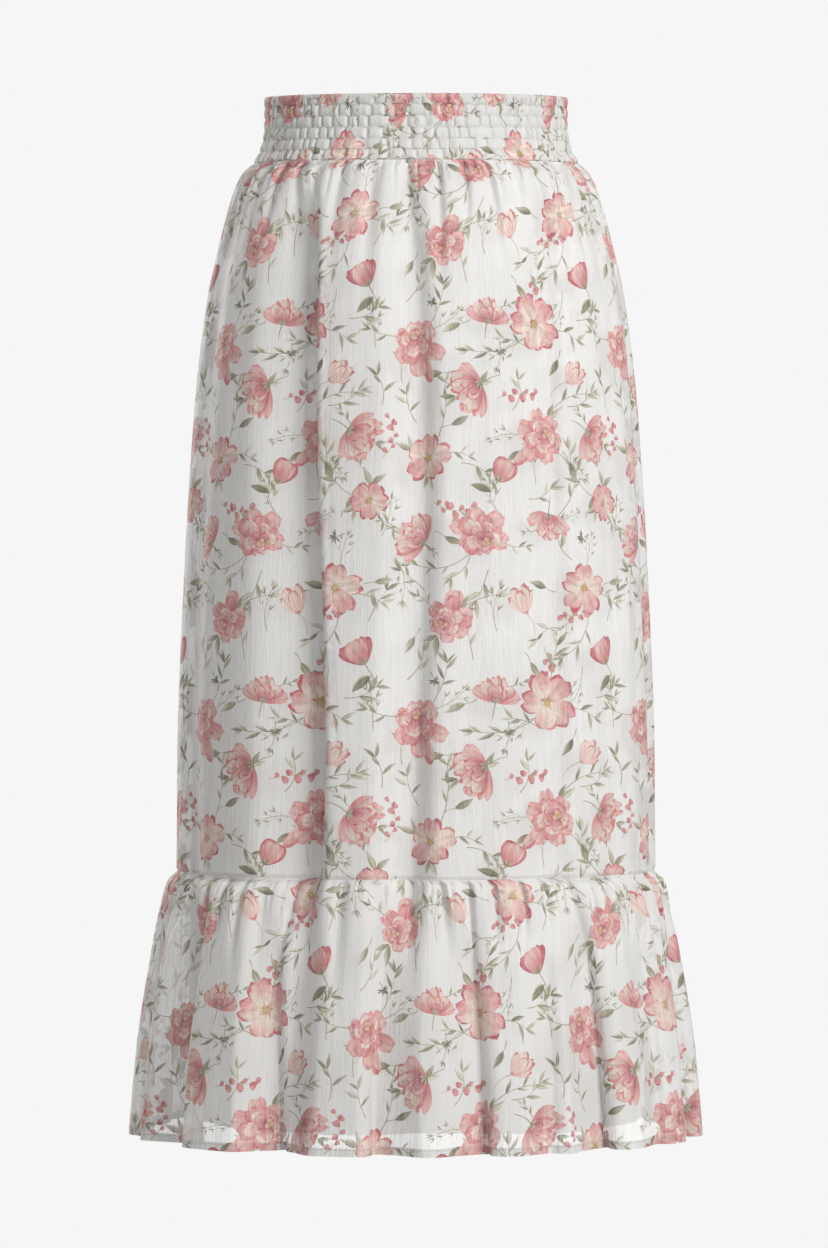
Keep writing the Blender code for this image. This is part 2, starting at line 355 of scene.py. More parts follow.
def eased(value):
    """Runs smoothly from 0 to 1 as value does."""
    value = np.clip(value, 0.0, 1.0)
    return value * value * (3 - 2 * value)


def smooth_column(table, column, drop):
    """One column of an outline at these drops, on a smooth curve through its rows."""
    rows = np.array(table)
    x, y = rows[:, 0], rows[:, column]
    rate = np.diff(y) / np.diff(x)
    product = rate[:-1] * rate[1:]
    mean = 2 * product / np.where(product > 0, rate[:-1] + rate[1:], 1.0)
    slope = np.concatenate([rate[:1], np.where(product > 0, mean, 0.0), rate[-1:]])
    place = np.clip(np.searchsorted(x, drop) - 1, 0, len(x) - 2)
    span = x[place + 1] - x[place]
    t = np.clip((drop - x[place]) / span, 0.0, 1.0)
    start = (1 + 2 * t) * (1 - t) ** 2 * y[place] + t * (1 - t) ** 2 * span * slope[place]
    end = t * t * (3 - 2 * t) * y[place + 1] + t * t * (t - 1) * span * slope[place + 1]
    return start + end


def wander(turn):
    """Moves evenly spaced gathers a little, so that they are unevenly spaced."""
    return turn + 0.035 * np.sin(3 * turn + 0.6) + 0.018 * np.sin(8 * turn + 2.0)


def on_outline(table, turn, drop, inset=0.0, shift=0.0, rise=0.0):
    """Points on an outline, moved in by inset, along the cloth by shift and up by rise."""
    cut = bpy.context.scene.skirt_cut
    half_width = smooth_column(table, 1, drop)
    front = smooth_column(table, 2, drop)
    back = smooth_column(table, 3, drop)
    depth = np.where(np.cos(turn) > 0, front, back)
    out_x, out_y = np.sin(turn) / half_width, -np.cos(turn) / depth
    length = np.hypot(out_x, out_y)
    out_x, out_y = out_x / length, out_y / length
    dip = cut.waist_dip / MM * np.cos(turn) * (1 - eased(drop / 350.0))
    x = half_width * np.sin(turn) - out_x * inset - out_y * shift
    y = -depth * np.cos(turn) - out_y * inset + out_x * shift
    z = cut.band_height / MM / 2 - drop - dip + rise
    return np.stack([x, y, z], axis=-1)


def folds_at(turn, folds, way_down, drop, narrower=0.0):
    """Inset and shift of the long folds, from 0 at their top to 1 at their bottom.

    Folds hang straight down, so where the skirt is narrower they are further round it.
    """
    inset = np.zeros_like(turn)
    shift = np.zeros_like(turn)
    for number, (centre, left, right, top, bottom, lean) in enumerate(folds):
        drift = 1.1 * np.sin(drop / 95.0 + 2.3 * number)
        drift = drift + 34.0 * math.sin(math.radians(2 * centre)) * narrower
        apart = (np.degrees(turn) - centre - drift + 180) % 360 - 180
        depth = top + (bottom - top) * way_down
        part = np.clip(apart / np.where(apart < 0, left, right), -1, 1)
        bump = 0.5 + 0.5 * np.cos(np.pi * part)
        inset += depth * bump
        shift += lean * depth * bump**2
    return inset, shift


def gathers_at(turn, below, count, depth, length):
    """Inset and shift of the gathers, shut at the seam and fading out below it."""
    reach = length * (0.72 + 0.28 * np.sin(7 * turn + 0.5) * np.sin(11 * turn + 1.4))
    bloom = eased(below / 6.0) * (1 - eased(below / reach))
    uneven = 0.8 + 0.2 * np.sin(5 * turn + 1.0)
    wave = (0.5 - 0.5 * np.cos(count * turn)) ** 2.4
    inset = depth * uneven * bloom * wave
    crease = (0.5 - 0.5 * np.cos(2.6 * count * turn + 1.2 * np.sin(7 * turn))) ** 3
    crease_reach = 34.0 + 18.0 * np.sin(13 * turn + 2.0)
    inset = inset + 2.0 * crease * eased(below / 3.0) * (1 - eased(below / crease_reach))
    shift = 0.45 * inset * np.sin(4 * turn + 0.3)
    return inset, shift


def tier_surface(turn, drop):
    """The upper tier's cloth."""
    cut = bpy.context.scene.skirt_cut
    seam = cut.band_height / MM
    below = drop - seam
    way_down = below / (cut.flounce_seam / MM - seam)
    inset, shift = gathers_at(turn, below, cut.tier_gathers, depth=6.8, length=150.0)
    inset = inset + 1.2 * (1 - eased((cut.flounce_seam / MM - drop) / 2.5))
    placed = wander(turn)
    narrower = OUTLINE_AT_SEAM / smooth_column(OUTLINE, 1, drop) - 1
    fold_inset, fold_shift = folds_at(placed, TIER_FOLDS, way_down, drop, narrower)
    share = eased(below / 70.0)
    inset = inset + fold_inset * share + 1.8 * (1 - eased(below / 8.0))
    shift = shift + fold_shift * share * (1 - 0.6 * eased((way_down - 0.85) / 0.15))
    return on_outline(OUTLINE, placed, drop, inset, shift)


def flounce_surface(turn, drop):
    """The flounce's cloth."""
    cut = bpy.context.scene.skirt_cut
    seam = cut.flounce_seam / MM
    below = drop - seam
    way_down = below / (cut.hem / MM - seam)
    inset, shift = gathers_at(turn, below, cut.flounce_gathers, depth=8.0, length=120.0)
    inset = inset + 1.2 * (1 - eased(below / 2.5))
    placed = wander(turn)
    tier_inset, tier_shift = folds_at(placed, TIER_FOLDS, 1.0, np.full_like(drop, seam))
    fold_inset, fold_shift = folds_at(placed, FLOUNCE_FOLDS, way_down, drop)
    share = eased(below / 70.0)
    inset = inset + tier_inset * (1 - share) + fold_inset * share
    shift = shift + 0.4 * tier_shift * (1 - share) + fold_shift * share
    return on_outline(OUTLINE, placed, drop, inset, shift)


def band_surface(turn, drop):
    """The waistband's cloth: outside below a drop of 0, and inside above it."""
    cut = bpy.context.scene.skirt_cut
    rows = cut.shirred_rows
    down = np.abs(drop)
    row = down / (cut.band_height / MM) * rows
    number = np.floor(row)
    slip = 0.026 * np.sin(7 * turn + 2.9 * number) * np.cos(turn) ** 2
    turn = turn + np.where(drop > 0, slip, 0.0)
    puff = np.abs(np.sin(np.pi * row)) ** 0.45
    wobble = 2.1 * np.sin(9 * turn + 1.7 * number) + 1.3 * np.sin(23 * turn + 4.1 * number)
    phase = cut.puckers * turn + 2.4 * number + wobble
    valley = (0.5 + 0.5 * np.cos(phase)) ** 13
    outside = 1.6 * (1 - puff) + 1.6 * valley * (0.3 + 0.7 * puff)
    inside = 3.4 - 0.5 * puff
    # The cloth turns over the top edge in a half round of this radius.
    fold = 1.7
    over = np.clip(drop / 2.6, -1.0, 1.0) * np.pi / 2
    edge = fold - fold * np.sin(over)
    rise = fold * np.cos(over)
    blend = eased((down - 2.0) / 3.0)
    inset = edge * (1 - blend) + np.where(drop > 0, outside, inside) * blend
    sway = np.where(drop > 0, 0.62 * puff * blend, 0.0) / cut.puckers
    placed = wander(turn + sway * np.sin(phase))
    return on_outline(OUTLINE, placed, np.maximum(down - fold, 0.0), inset, rise=rise - fold)


def lining_surface(turn, drop):
    """The lining's cloth, which follows the upper tier's folds softly from the inside."""
    first_drop, last_drop = LINING_OUTLINE[0][0], LINING_OUTLINE[-1][0]
    wave = 0.5 - 0.5 * np.cos(9 * turn + 0.8)
    inset = 4.0 * wave * eased((drop - first_drop) / last_drop)
    fold_inset, _ = folds_at(turn, TIER_FOLDS, 0.5, drop)
    inset = inset + 0.75 * fold_inset * eased((drop - 80.0) / 200.0)
    ripple = 1.2 * np.sin(5 * turn + 1.0) * eased((drop - 500.0) / 320.0)
    return on_outline(LINING_OUTLINE, turn, drop, inset, rise=ripple)


def flat_cloth_map(surface, back, top, bottom, fullness=1.0, levels=90, samples=1500):
    """Lays flat cloth on half of a surface, so that its width is that of the cloth there.

    The fullness is how much wider the cloth is cut where fine gathers take it up. Gives
    the half's mean width and a function from flat X and Y to points on the skirt.
    """
    # This small angle stays open on each side of a side seam.
    gap = 0.0012
    first = gap - math.pi / 2 + (math.pi if back else 0.0)
    turns = np.linspace(first, first + math.pi - 2 * gap, samples)
    drops = np.linspace(top, bottom, levels)
    spread = np.linspace(0.0, 1.0, 700)
    rows, widths = [], []
    for drop in drops:
        points = surface(turns, np.full_like(turns, drop))
        steps = np.linalg.norm(np.diff(points[:, :2], axis=0), axis=1)
        length = np.concatenate([[0.0], np.cumsum(steps)])
        rows.append(np.interp(spread, length / length[-1], turns))
        widths.append(length[-1])
    table = np.array(rows)
    width = float(np.mean(widths)) * fullness

    def place(flat):
        """Points on the skirt for these flat ones."""
        x = np.clip(flat[:, 0] / width, 0.0, 1.0) * (len(spread) - 1)
        drop = np.clip(-flat[:, 1], top, bottom)
        y = (drop - top) / (bottom - top) * (levels - 1)
        i, j = np.minimum(x.astype(int), len(spread) - 2), np.minimum(y.astype(int), levels - 2)
        u, v = x - i, y - j
        upper = table[j, i] * (1 - u) + table[j, i + 1] * u
        lower = table[j + 1, i] * (1 - u) + table[j + 1, i + 1] * u
        return surface(upper * (1 - v) + lower * v, drop)

    return width, place


def swung(way, angle):
    """A direction turned by this angle."""
    return way * np.exp(1j * angle)


class Painter:
    """Collects the painted shapes of one repeat, from the back to the front.

    Places are complex numbers, with X along the cloth and Y up it. Each shape keeps its
    root, its tip and its half width, so that the shader can tint it from root to tip.
    """

    def __init__(self):
        self.shapes = []
        self.seed = 1

    def chance(self, low, high):
        """The next number of a fixed series between low and high."""
        factor, limit = 16807, 2147483647
        self.seed = (self.seed * factor) % limit
        return low + (high - low) * self.seed / limit

    def pick(self, choices):
        """One of these choices."""
        return choices[int(self.chance(0, len(choices) - 0.01))]

    def hand(self):
        """1 for one side or -1 for the other."""
        return 1 if self.chance(0, 1) > 0.5 else -1

    def greens(self):
        """Inks for the root, the tip and the edge of a leaf."""
        return self.pick((
            ("olive", "wash", "sage"), ("sage", "wash", "olive"), ("moss", "sage", "olive"),
            ("olive", "sage", "moss"), ("wash", "wash", "sage"), ("olive", "wash", "olive"),
        ))

    def add(self, points, root, tip, half_width, inks, kind):
        """Adds a shape with the inks of its root, tip and edge. Kind 1 is a petal, 2 a leaf."""
        inks = tuple(INK_NAMES.index(ink) for ink in inks)
        wet_side = self.chance(-0.45, 0.45)
        self.shapes.append((np.asarray(points), root, tip, half_width, inks, kind + wet_side))

    def petal(self, root, way, length, width, inks, notch=0.06, steps=18):
        """A petal, widest near its tip, with a notched and ruffled end."""
        around = np.linspace(0, 2 * np.pi, steps, endpoint=False)
        along = 0.5 - 0.5 * np.cos(around)
        across = np.sin(around) * (0.55 + 0.62 * along)
        end = eased((along - 0.5) / 0.5)
        ruffle = self.chance(0.02, 0.05) * np.sin(7 * around + self.chance(0, 6))
        along = along + end * (ruffle - notch * np.exp(-((across / 0.25) ** 2)))
        bend = self.chance(-0.12, 0.12)
        local = along * length + 1j * (across * width / 2 + bend * length * along**2)
        self.add(root + way * local, root, root + way * length, width / 2, inks, 1)

    def leaf(self, root, way, length, width, inks, bend=None, steps=7):
        """A pointed leaf that bends to one side."""
        along = np.linspace(0, 1, steps)
        half = np.sin(np.pi * along**0.85) ** 1.15 * width / 2
        bend = self.chance(-0.22, 0.22) if bend is None else bend
        middle = along * length + 1j * bend * length * along**2
        points = np.concatenate([middle - 1j * half, (middle + 1j * half)[-2:0:-1]])
        tip = root + way * middle[-1]
        self.add(root + way * points, root, tip, width / 2, inks, 2)

    def stem(self, start, end, bow, width, ink, steps=8):
        """A thin stem that bows to one side and tapers."""
        along = np.linspace(0, 1, steps)
        middle = start + (end - start) * (along + 4j * bow * along * (1 - along))
        side = 1j * np.gradient(middle)
        side = side / np.abs(side) * width / 2 * (1 - 0.45 * along)
        points = np.concatenate([middle - side, (middle + side)[::-1]])
        self.add(points, start, end, width, (ink, ink, ink), 1)
        return middle

    def dot(self, centre, radius, ink, steps=7):
        """A small round dab."""
        turns = np.linspace(0, 2 * np.pi, steps, endpoint=False) + self.chance(0, 6)
        edge = radius * (1 + 0.16 * np.sin(3 * turns + self.chance(0, 6)))
        root = centre - 1j * radius
        points = centre + edge * np.exp(1j * turns)
        self.add(points, root, centre + 1j * radius, radius, (ink, ink, ink), 1)

    def tuft(self, root, way, size, count, spread, slim, steps=7):
        """A fan of slender leaves from one point."""
        for number in range(count):
            lean = spread * (2 * number / max(count - 1, 1) - 1) + self.chance(-0.18, 0.18)
            length = size * self.chance(0.7, 1.15)
            greens = self.greens()
            self.leaf(root, swung(way, lean), length, length * slim, greens, steps=steps)

    def foliage(self, centre, size, way):
        """Leaves and sprigs that show from behind a bloom."""
        count = self.pick((2, 3))
        start = self.chance(0, 6.28)
        for number in range(count):
            side = swung(way, start + number * 2 * np.pi / count + self.chance(-0.5, 0.5))
            edge = centre + side * size * 0.36
            choice = self.chance(0, 1)
            if choice < 0.35:
                self.twig(edge, size * self.chance(0.55, 0.8), side)
            elif choice < 0.65:
                self.sprig(edge, size * self.chance(0.6, 0.85), side)
            else:
                reach = size * self.chance(0.32, 0.45)
                self.tuft(edge, side, reach, count=2, spread=0.45, slim=0.32)

    def rose(self, centre, size, way):
        """An open five-petalled wild rose."""
        self.foliage(centre, size, way)
        tones = (
            ("cream", "blush", "coral"), ("cream", "pink", "rose"), ("blush", "pink", "rose"),
        )
        for number in (0, 2, 4, 1, 3):
            side = swung(way, number * 2 * np.pi / 5 + self.chance(-0.14, 0.14))
            length = size * self.chance(0.44, 0.56)
            width = size * self.chance(0.42, 0.52)
            inks = self.pick(tones)
            root = centre + side * size * 0.02
            self.petal(root, side, length, width, inks, notch=0.12, steps=22)
        inks = ("ochre", "ochre", "ochre")
        for number in range(11):
            side = swung(way, number * 2 * np.pi / 11 + self.chance(-0.2, 0.2))
            reach = size * self.chance(0.09, 0.17)
            self.leaf(centre, side, reach, size * 0.02, inks, bend=0.0, steps=4)
        self.dot(centre, size * 0.06, "ochre", steps=11)
        self.dot(centre, size * 0.025, "sage", steps=7)

    def peony(self, centre, size, way):
        """A full bloom of layered petals, with a fallen one if it is large."""
        self.foliage(centre, size, way)
        if size > 42:
            side = swung(-way, 0.3)
            inks = ("rose", "blush", "coral")
            self.petal(centre, side, size * 0.85, size * 0.26, inks, notch=0.05, steps=16)
        layers = (
            (6, 0.54, 0.38, ("coral", "blush", "pink")),
            (5, 0.44, 0.34, ("rose", "pink", "coral")),
            (5, 0.34, 0.28, ("coral", "cream", "pink")),
            (5, 0.25, 0.22, ("rose", "blush", "coral")),
            (4, 0.16, 0.16, ("deep", "pink", "rose")),
            (3, 0.09, 0.10, ("ochre", "blush", "rose")),
        )
        lift = -0.05
        for count, reach, width, inks in layers:
            start = self.chance(0, 6)
            middle = centre + way * size * lift
            for number in range(count):
                side = swung(way, start + number * 2 * np.pi / count)
                slant = 1 - 0.16 * (side / way).real
                length = size * reach * slant * self.chance(0.82, 1.15)
                wide = size * width * self.chance(0.9, 1.2)
                self.petal(middle, side, length, wide, inks, notch=0.08, steps=18)
            lift += 0.035

    def side(self, centre, size, way):
        """A half-open bloom seen from the side, with its stalk."""
        self.foliage(centre, size * 0.8, way)
        base = centre - way * size * 0.32
        self.stem(base, base - way * size * 0.45, self.chance(-0.12, 0.12), 1.0, "olive")
        fans = (
            (5, 1.15, 0.70, 0.38, ("coral", "blush", "pink")),
            (4, 0.75, 0.68, 0.36, ("rose", "cream", "coral")),
            (3, 0.45, 0.48, 0.30, ("rose", "blush", "coral")),
            (2, 0.25, 0.30, 0.22, ("deep", "pink", "rose")),
        )
        for count, spread, reach, width, inks in fans:
            for number in range(count):
                lean = spread * (2 * number / (count - 1) - 1) + self.chance(-0.1, 0.1)
                length = size * reach * self.chance(0.85, 1.08)
                self.petal(base, swung(way, lean), length, size * width, inks, notch=0.1, steps=20)
        root = base - way * size * 0.03
        for lean in (-0.8, 0.0, 0.8):
            inks = ("olive", "sage", "moss")
            self.leaf(root, swung(way, lean), size * 0.16, size * 0.08, inks)

    def tulip(self, centre, size, way):
        """A cup-shaped bud of broad upright petals, with its stalk."""
        base = centre - way * size * 0.45
        self.stem(base, base - way * size * 0.6, self.chance(-0.15, 0.15), 1.0, "olive")
        for lean, reach, width, inks in (
            (0.42, 0.92, 0.56, ("rose", "coral", "rose")),
            (-0.42, 0.90, 0.56, ("rose", "coral", "rose")),
            (0.04, 0.86, 0.80, ("coral", "blush", "pink")),
        ):
            side = swung(way, lean)
            self.petal(base, side, size * reach, size * width, inks, notch=0.04, steps=16)
        for lean in (-0.7, 0.7):
            inks = ("olive", "sage", "moss")
            self.leaf(base, swung(way, lean), size * 0.26, size * 0.12, inks)
        root = base - way * size * 0.4
        inks = ("moss", "olive", "sage")
        self.leaf(root, way * 1j, size * 0.8, size * 0.3, inks, bend=0.2, steps=10)

    def bud(self, centre, size, way):
        """A pale bud that is little more than its outlined petals."""
        base = centre - way * size * 0.45
        self.stem(base, base - way * size * 0.8, self.chance(-0.15, 0.15), 0.8, "sage")
        inks = ("blush", "cream", "coral")
        for lean, reach, width in (
            (0.5, 0.8, 0.42),
            (-0.5, 0.78, 0.42),
            (0.22, 0.98, 0.42),
            (-0.22, 1.0, 0.42),
            (0.0, 0.8, 0.4),
        ):
            side = swung(way, lean)
            self.petal(base, side, size * reach, size * width, inks, notch=0.03, steps=14)

    def spray(self, root, size, way):
        """Small round buds along a thin curved stem."""
        middle = self.stem(root, root + way * size, self.chance(-0.22, 0.22), 0.7, "sage")
        for number in range(1, 8):
            side = swung(way, 0.9 if number % 2 else -0.9)
            length = size * self.chance(0.13, 0.22)
            inks = ("coral", "pink", "rose")
            self.petal(middle[number], side, length, length * 0.9, inks, notch=0.02, steps=10)
            if number % 3 == 0:
                side = swung(side, 0.8)
                inks = ("rose", "coral", "rose")
                self.petal(middle[number], side, length, length * 0.6, inks, notch=0.02, steps=8)

    def sprig(self, root, size, way):
        """A feathery sprig: fine side shoots up a stem, each with a few narrow leaves."""
        middle = self.stem(root, root + way * size, self.chance(-0.16, 0.16), 0.65, "olive")
        hand = self.hand()
        for number in (2, 3, 4, 5, 6):
            side = swung(way, hand * self.chance(0.35, 0.7))
            reach = size * self.chance(0.14, 0.26) * (1.2 - 0.08 * number)
            end = middle[number] + side * reach
            self.stem(middle[number], end, 0.08 * hand, 0.5, "sage", steps=4)
            self.tuft(end, side, size * 0.2, count=2, spread=0.35, slim=0.2, steps=5)
            hand = -hand
        self.tuft(middle[7], way, size * 0.22, count=3, spread=0.4, slim=0.2, steps=5)

    def twig(self, root, size, way):
        """A short stem with a few slender leaves."""
        middle = self.stem(root, root + way * size * 0.8, self.chance(-0.2, 0.2), 0.75, "olive")
        hand = self.hand()
        for number in (3, 5):
            side = swung(way, hand * self.chance(0.5, 0.95))
            length = size * self.chance(0.32, 0.5)
            width = length * self.chance(0.2, 0.3)
            self.leaf(middle[number], side, length, width, self.greens())
            hand = -hand
        self.tuft(middle[7], way, size * 0.4, count=2, spread=0.4, slim=0.24)

    def branch(self, root, size, way):
        """A long bowed stem from under a bloom, with slender leaves along its outer half."""
        bow = self.chance(0.1, 0.24) * self.hand()
        middle = self.stem(root, root + way * size, bow, 0.85, "olive", steps=14)
        hand = 1
        for number in (7, 9, 10, 12, 13):
            along = middle[number] - middle[number - 1]
            along = along / abs(along)
            length = self.chance(8.0, 15.0)
            slim = self.chance(0.17, 0.25)
            side = swung(along, hand * self.chance(0.35, 0.8))
            self.leaf(middle[number], side, length, length * slim, self.greens())
            hand = -hand
        self.tuft(middle[13], along, 11.0, count=2, spread=0.3, slim=0.2)

    def star(self, root, size, way):
        """A tiny dark sprig of strokes that spread like a star."""
        self.stem(root - way * size * 0.7, root, 0.05, 0.7, "slate")
        inks = ("moss", "slate", "moss")
        for lean in (-1.9, -1.3, -0.75, -0.25, 0.25, 0.75, 1.3, 1.9):
            side = swung(way, lean + self.chance(-0.12, 0.12))
            self.leaf(root, side, size * self.chance(0.4, 0.6), 1.4, inks, steps=4)

    def single_leaf(self, root, size, way):
        """One broad leaf on a short stalk."""
        self.stem(root - way * size * 0.5, root, 0.08, 0.8, "olive")
        self.leaf(root, way, size, size * 0.34, self.greens(), steps=10)


def paint_repeat():
    """The shapes of one repeat of the print."""
    painter = Painter()
    kinds = {
        "rose": painter.rose, "peony": painter.peony, "side": painter.side,
        "tulip": painter.tulip, "bud": painter.bud, "spray": painter.spray,
        "sprig": painter.sprig, "twig": painter.twig, "star": painter.star,
        "leaf": painter.single_leaf, "branch": painter.branch,
    }
    for kind, x, y, size, turn in REPEAT:
        kinds[kind](complex(x, y), size, np.exp(1j * math.radians(turn)))
    return painter.shapes


def shapes_on_panel(shapes, offset, width, low, high):
    """Each painted shape that reaches a flat panel: its outline there, and what tints it."""
    plan = bpy.context.scene.skirt_print
    across, up = plan.repeat_width / MM, plan.repeat_height / MM
    first_column = math.floor(-offset[0] / across) - 1
    last_column = math.ceil((width - offset[0]) / across)
    first_row = math.floor((low - offset[1]) / up) - 1
    last_row = math.ceil((high - offset[1]) / up)
    least = 0.5
    for column in range(first_column, last_column + 1):
        for row in range(first_row, last_row + 1):
            move = complex(offset[0] + column * across, offset[1] + row * up)
            for points, root, tip, *tints in shapes:
                outline = points + move
                x, y = outline.real, outline.imag
                if x.max() < least or x.min() > width - least:
                    continue
                if y.max() < low + least or y.min() > high - least:
                    continue
                if np.sum(x * np.roll(y, -1) - y * np.roll(x, -1)) < 0:
                    outline = outline[::-1]
                yield outline, (root + move, tip + move, *tints)


def cut_printed_cloth(width, top, bottom, step_x, step_y, offset, shapes):
    """Triangles of a flat printed panel, with each painted shape's edge cut into them.

    Returns the points, the triangles and, for each triangle, the shape on top or -1, and
    what tints each shape.
    """
    high, low = -top, -bottom
    columns, rows = round(width / step_x), round((high - low) / step_y)
    rim = [complex(width * i / columns, low) for i in range(columns)]
    rim += [complex(width, low + (high - low) * i / rows) for i in range(rows)]
    rim += [complex(width - width * i / columns, high) for i in range(columns)]
    rim += [complex(0, high - (high - low) * i / rows) for i in range(rows)]
    points = list(rim)
    faces = [list(range(len(rim)))]
    placed = []
    for outline, tints in shapes_on_panel(shapes, offset, width, low, high):
        faces.append(list(range(len(points), len(points) + len(outline))))
        points += list(outline)
        placed.append(tints)
    # A grid fills the cloth between the outlines, with closer rows beside the seams.
    near = 2.2
    taken = {(round(p.real / near), round(p.imag / near)) for p in points}
    levels = [low + (high - low) * j / rows for j in range(1, rows)]
    for margin in (1.4, 3.0):
        levels += [low + margin, high - margin]
    for j, y in enumerate(sorted(levels)):
        for i in range(1, columns):
            x = width * (i + (0.25 if j % 2 else -0.25)) / columns
            if (round(x / near), round(y / near)) not in taken:
                points.append(complex(x, y))
    flat = [Vector((p.real, p.imag)) for p in points]
    verts, _, tris, _, _, owners = delaunay_2d_cdt(flat, [], faces, 1, 1e-4, True)
    keep = [k for k, own in enumerate(owners) if 0 in own and len(tris[k]) == 3]
    top_shape = np.array([max(owners[k]) - 1 for k in keep])
    corners = np.array([tris[k] for k in keep])
    xy = np.array([(v.x, v.y) for v in verts])
    used, corners = np.unique(corners, return_inverse=True)
    return xy[used], corners.reshape(-1, 3), top_shape, placed


def on_cloth(place, xy):
    """Points of flat cloth on the skirt, and the directions out of its face there."""
    step = 0.4
    right = place(xy + [step, 0]) - place(xy - [step, 0])
    up = place(xy + [0, step]) - place(xy - [0, step])
    normals = np.cross(right, up)
    normals /= np.maximum(np.linalg.norm(normals, axis=1, keepdims=True), 1e-9)
    return place(xy), normals


def lay_on_cloth(bm, place, name, material):
    """Lays a piece made over flat cloth on the skirt, with Z its height over the cloth."""
    cloth = bm.loops.layers.uv.new("cloth")
    for face in bm.faces:
        for loop in face.loops:
            loop[cloth].uv = loop.vert.co.xy * MM
    flat = np.array([vert.co[:] for vert in bm.verts])
    points, normals = on_cloth(place, flat[:, :2])
    for vert, point in zip(bm.verts, (points + normals * flat[:, 2:]) * MM):
        vert.co = point
    mesh = bpy.data.meshes.new(name)
    bm.to_mesh(mesh)
    bm.free()
    mesh.shade_smooth()
    mesh.materials.append(material)
    piece = bpy.data.objects.new(name, mesh)
    bpy.context.scene.collection.objects.link(piece)
    return piece


def sew_stitches(bm, width, drop, length, gap, girth, height):
    """A row of thread stitches over flat cloth, at one drop, as short round beads."""
    margin = 1.0
    pitch = length + gap
    count = int((width - 2 * margin) / pitch)
    lying = Matrix.Rotation(math.pi / 2, 4, "Y")
    start = Matrix.Translation((margin + pitch / 2, -drop, height))
    first = bmesh.ops.create_cone(
        bm, cap_ends=True, segments=5, radius1=girth / 2, radius2=girth / 2,
        depth=length, matrix=start @ lying,
    )["verts"]
    bead = list(first) + list({face for vert in first for face in vert.link_faces})
    for number in range(1, count):
        copy = bmesh.ops.duplicate(bm, geom=bead)["geom"]
        verts = [item for item in copy if isinstance(item, bmesh.types.BMVert)]
        bmesh.ops.translate(bm, verts=verts, vec=(number * pitch, 0, 0))


def turn_up_hem(bm, width, drop, height):
    """The inner layer of a hem that is turned up once, over flat cloth."""
    columns = round(width / 2.5)
    sheet = bmesh.ops.create_grid(bm, x_segments=columns, y_segments=3, size=0.5)["verts"]
    bmesh.ops.translate(bm, verts=sheet, vec=(0.5, 0.5, 0))
    bmesh.ops.scale(bm, verts=sheet, vec=(width, height, 1))
    for vert in sheet:
        vert.co.z = -0.15 - 0.75 * min(1.0, vert.co.y / height * 3)
    bmesh.ops.translate(bm, verts=sheet, vec=(0, 0.2 - drop, 0))


def face_outwards(points, normals, corners):
    """Turns the few triangles that lie back over their neighbours, so that all face alike.

    A direction that differs widely from the triangles round its point gives way to theirs.
    """
    first, second, third = (points[corners[:, k]] for k in range(3))
    own = np.cross(second - first, third - first)
    turned = np.sum(own * normals[corners].sum(axis=1), axis=1, keepdims=True) < 0
    corners = np.where(turned, corners[:, ::-1], corners)
    own = np.where(turned, -own, own)
    mean = np.zeros_like(points)
    for k in range(3):
        np.add.at(mean, corners[:, k], own)
    mean /= np.maximum(np.linalg.norm(mean, axis=1, keepdims=True), 1e-9)
    agree = np.sum(mean * normals, axis=1, keepdims=True) > 0.5
    return np.where(agree, normals, mean), corners


def add_printed_mesh(name, place, xy, corners, top_shape, placed, material):
    """A printed piece of cloth on the skirt, with its inks kept on its triangles."""
    points, normals = on_cloth(place, xy)
    normals, corners = face_outwards(points, normals, corners)
    mesh = bpy.data.meshes.new(name)
    mesh.from_pydata(points * MM, [], corners.tolist())
    cloth = mesh.uv_layers.new(name="cloth")
    cloth.data.foreach_set("uv", (xy[corners].reshape(-1, 2) * MM).ravel())

    # The last row stands for cloth without paint.
    plain = (0j, 1 + 0j, 1.0, (0, 0, 0), 0)
    roots, tips, halves, inks, kinds = (np.array(column) for column in zip(*placed, plain))
    palette = bpy.context.scene.skirt_colours
    colours = np.array([getattr(palette, ink)[:] for ink in INK_NAMES])
    flat = xy[corners][..., 0] + 1j * xy[corners][..., 1]
    axis = (tips - roots)[top_shape][:, None]
    length = np.abs(axis)
    local = (flat - roots[top_shape][:, None]) / (axis / length)
    petal = np.zeros((len(corners), 3, 3))
    petal[..., 0] = local.imag / halves[top_shape][:, None]
    petal[..., 1] = local.real / length
    petal[..., 2] = kinds[top_shape][:, None]
    petal[top_shape < 0, :, :2] = 0.0
    field = mesh.attributes.new("petal", "FLOAT_VECTOR", "CORNER")
    field.data.foreach_set("vector", petal.ravel())
    for column, key in enumerate(("ink_root", "ink_tip", "ink_edge")):
        tint = colours[inks[top_shape, column]]
        tint = np.repeat(tint[:, None, :], 3, axis=1)
        layer = mesh.attributes.new(key, "FLOAT_COLOR", "CORNER")
        layer.data.foreach_set("color", tint.ravel())
    mesh.shade_smooth()
    mesh.normals_split_custom_set_from_vertices(normals.tolist())
    mesh.materials.append(material)
    piece = bpy.data.objects.new(name, mesh)
    bpy.context.scene.collection.objects.link(piece)
    return piece


def add_node(tree, kind, settings=None, **links):
    """Adds a shader node with its settings, values and links, named by socket."""
    node = tree.nodes.new(kind)
    for key, value in (settings or {}).items():
        setattr(node, key, value)
    for key, value in links.items():
        place = int(key[1:]) if key[0] == "i" and key[1:].isdigit() else key.replace("_", " ")
        if isinstance(value, bpy.types.NodeSocket):
            tree.links.new(value, node.inputs[place])
        else:
            node.inputs[place].default_value = value
    return node


def new_material(name):
    """An empty material with this name, and its node tree."""
    material = bpy.data.materials.new(name)
    material.use_nodes = True
    material.node_tree.nodes.clear()
    return material, material.node_tree


